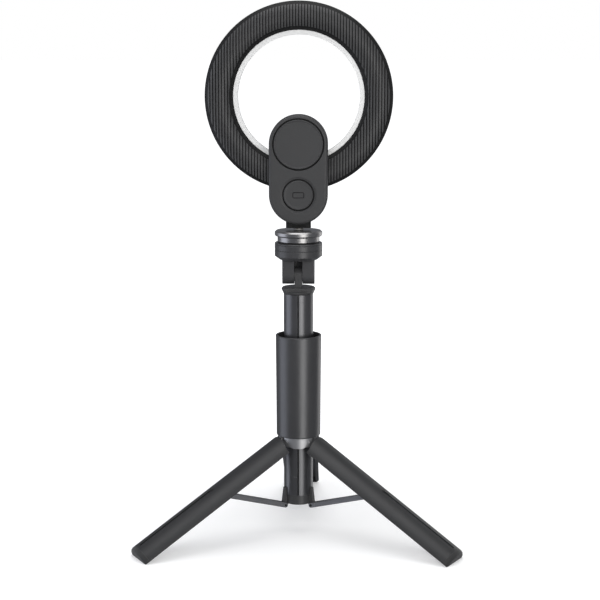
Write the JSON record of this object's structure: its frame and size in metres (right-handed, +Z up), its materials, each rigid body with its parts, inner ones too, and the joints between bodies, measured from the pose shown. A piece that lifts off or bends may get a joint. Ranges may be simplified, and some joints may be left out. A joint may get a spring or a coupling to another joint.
{
  "type": "ring light",
  "caption": "Ring light on a tilting, turning head with a telescoping pole and three folding legs braced by struts, for lighting a desk or a small subject.",
  "frame": {"origin": "on the floor, on the pole's axis", "axes": "+Z up along the pole, +Y the way the light shines, -Y towards the viewer of the push button, +X to the viewer's right"},
  "size_m": [0.2674, 0.2356, 0.4424],
  "materials": {
    "grip_sleeve": "satin anodised",
    "leg_hub": "satin",
    "leg_hinge_pins": "plain",
    "pole_tube": "satin anodised",
    "pole_bottom_cap": "moulded",
    "strut_pivot_pins": "plain",
    "cap_screw": "plain",
    "tube_bush_1": "moulded",
    "leg_shell_1": "satin anodised",
    "leg_shoe_1": "matt",
    "slide_block_1": "moulded",
    "slide_stud_1": "bright",
    "strut_1": "dark plated",
    "strut_end_pin_1": "plain",
    "leg_shell_2": "satin anodised",
    "leg_shoe_2": "matt",
    "slide_block_2": "moulded",
    "slide_stud_2": "bright",
    "strut_2": "dark plated",
    "strut_end_pin_2": "plain",
    "leg_shell_3": "satin anodised",
    "leg_shoe_3": "matt",
    "slide_block_3": "moulded",
    "slide_stud_3": "bright",
    "strut_3": "dark plated",
    "strut_end_pin_3": "plain",
    "tube_2": "satin",
    "tube_bush_2": "moulded",
    "tube_3": "satin",
    "tube_bush_3": "moulded",
    "tube_4": "satin",
    "pole_head": "moulded",
    "fork_collar": "moulded",
    "tilt_bolt": "black oxide",
    "tilt_nut": "plain",
    "tilt_washers": "plain",
    "turn_washer": "moulded",
    "turn_plate": "satin turned",
    "fixing_screw": "plain",
    "neck_block": "moulded",
    "thread_insert": "plain",
    "body_back_shell": "fine satin",
    "body_front_shell": "fine satin",
    "body_screws": "black oxide",
    "round_cover": "fine satin",
    "button_seat": "gloss",
    "push_switch": "plain",
    "control_board": "board",
    "battery_cell": "sleeved",
    "charging_port": "plain",
    "ring_housing": "moulded",
    "ring_cover": "moulded",
    "cover_ribs": "moulded",
    "lamp_board": "white board",
    "lamp_chips": "plain",
    "opal_sheet": "opal",
    "ring_diffuser": "opal satin",
    "push_button": "fine satin"
  },
  "bodies": {
    "pole_base": {"grip_sleeve": "grip_sleeve", "leg_hub": "leg_hub", "leg_hinge_pins": "leg_hinge_pins", "pole_tube": "pole_tube", "pole_bottom_cap": "pole_bottom_cap", "strut_pivot_pins": "strut_pivot_pins", "cap_screw": "cap_screw", "tube_bush_1": "tube_bush_1"},
    "leg_1": {"leg_shell_1": "leg_shell_1", "leg_shoe_1": "leg_shoe_1"},
    "slider_1": {"slide_block_1": "slide_block_1", "slide_stud_1": "slide_stud_1"},
    "brace_1": {"strut_1": "strut_1", "strut_end_pin_1": "strut_end_pin_1"},
    "leg_2": {"leg_shell_2": "leg_shell_2", "leg_shoe_2": "leg_shoe_2"},
    "slider_2": {"slide_block_2": "slide_block_2", "slide_stud_2": "slide_stud_2"},
    "brace_2": {"strut_2": "strut_2", "strut_end_pin_2": "strut_end_pin_2"},
    "leg_3": {"leg_shell_3": "leg_shell_3", "leg_shoe_3": "leg_shoe_3"},
    "slider_3": {"slide_block_3": "slide_block_3", "slide_stud_3": "slide_stud_3"},
    "brace_3": {"strut_3": "strut_3", "strut_end_pin_3": "strut_end_pin_3"},
    "inner_pole_2": {"tube_2": "tube_2", "tube_bush_2": "tube_bush_2"},
    "inner_pole_3": {"tube_3": "tube_3", "tube_bush_3": "tube_bush_3"},
    "inner_pole_4": {"tube_4": "tube_4", "pole_head": "pole_head"},
    "tilt_fork": {"fork_collar": "fork_collar", "tilt_bolt": "tilt_bolt", "tilt_nut": "tilt_nut", "tilt_washers": "tilt_washers", "turn_washer": "turn_washer"},
    "light": {"turn_plate": "turn_plate", "fixing_screw": "fixing_screw", "neck_block": "neck_block", "thread_insert": "thread_insert", "body_back_shell": "body_back_shell", "body_front_shell": "body_front_shell", "body_screws": "body_screws", "round_cover": "round_cover", "button_seat": "button_seat", "push_switch": "push_switch", "control_board": "control_board", "battery_cell": "battery_cell", "charging_port": "charging_port", "ring_housing": "ring_housing", "ring_cover": "ring_cover", "cover_ribs": "cover_ribs", "lamp_board": "lamp_board", "lamp_chips": "lamp_chips", "opal_sheet": "opal_sheet", "ring_diffuser": "ring_diffuser"},
    "button": {"push_button": "push_button"}
  },
  "joints": [
    {"name": "leg_fold_1", "type": "hinge", "parent": "pole_base", "child": "leg_1", "pos_m": [0.01247, -0.0072, 0.0826], "axis": [-0.5, -0.866, 0], "range_deg": [-60, 0]},
    {"name": "strut_swing_1", "type": "hinge", "parent": "pole_base", "child": "brace_1", "pos_m": [0.01178, -0.0068, 0.026], "axis": [-0.5, -0.866, 0], "range_deg": [-107.85, 0]},
    {"name": "block_slide_1", "type": "slide", "parent": "leg_1", "child": "slider_1", "axis": [0.75, -0.433, -0.5], "range_m": [0, 0.04993]},
    {"name": "leg_fold_2", "type": "hinge", "parent": "pole_base", "child": "leg_2", "pos_m": [-0.01247, -0.0072, 0.0826], "axis": [-0.5, 0.866, 0], "range_deg": [-60, 0]},
    {"name": "strut_swing_2", "type": "hinge", "parent": "pole_base", "child": "brace_2", "pos_m": [-0.01178, -0.0068, 0.026], "axis": [-0.5, 0.866, 0], "range_deg": [-107.85, 0]},
    {"name": "block_slide_2", "type": "slide", "parent": "leg_2", "child": "slider_2", "axis": [-0.75, -0.433, -0.5], "range_m": [0, 0.04993]},
    {"name": "leg_fold_3", "type": "hinge", "parent": "pole_base", "child": "leg_3", "pos_m": [0, 0.0144, 0.0826], "axis": [1, 0, 0], "range_deg": [-60, 0]},
    {"name": "strut_swing_3", "type": "hinge", "parent": "pole_base", "child": "brace_3", "pos_m": [0, 0.0136, 0.026], "axis": [1, 0, 0], "range_deg": [-107.85, 0]},
    {"name": "block_slide_3", "type": "slide", "parent": "leg_3", "child": "slider_3", "axis": [0, 0.866, -0.5], "range_m": [0, 0.04993]},
    {"name": "tube_slide_2", "type": "slide", "parent": "pole_base", "child": "inner_pole_2", "axis": [0, 0, 1], "range_m": [0, 0.13]},
    {"name": "tube_slide_3", "type": "slide", "parent": "inner_pole_2", "child": "inner_pole_3", "axis": [0, 0, 1], "range_m": [0, 0.13]},
    {"name": "tube_slide_4", "type": "slide", "parent": "inner_pole_3", "child": "inner_pole_4", "axis": [0, 0, 1], "range_m": [0, 0.13]},
    {"name": "head_tilt", "type": "hinge", "parent": "inner_pole_4", "child": "tilt_fork", "pos_m": [0, 0, 0.2205], "axis": [1, 0, 0], "range_deg": [0, 90]},
    {"name": "head_turn", "type": "hinge", "parent": "tilt_fork", "child": "light", "pos_m": [0, 0, 0.2205], "axis": [0, 0, 1], "continuous": true},
    {"name": "button_press", "type": "slide", "parent": "light", "child": "button", "axis": [0, 1, 0], "range_m": [0, 0.0008], "stiffness_N_per_m": 600}
  ],
  "couplings": [
    {"joint": "strut_swing_1", "follows": "leg_fold_1", "ratio": 1.7908},
    {"joint": "block_slide_1", "follows": "leg_fold_1", "m_per_rad": -0.047586},
    {"joint": "strut_swing_2", "follows": "leg_fold_2", "ratio": 1.7908},
    {"joint": "block_slide_2", "follows": "leg_fold_2", "m_per_rad": -0.047586},
    {"joint": "strut_swing_3", "follows": "leg_fold_3", "ratio": 1.7908},
    {"joint": "block_slide_3", "follows": "leg_fold_3", "m_per_rad": -0.047586}
  ]
}
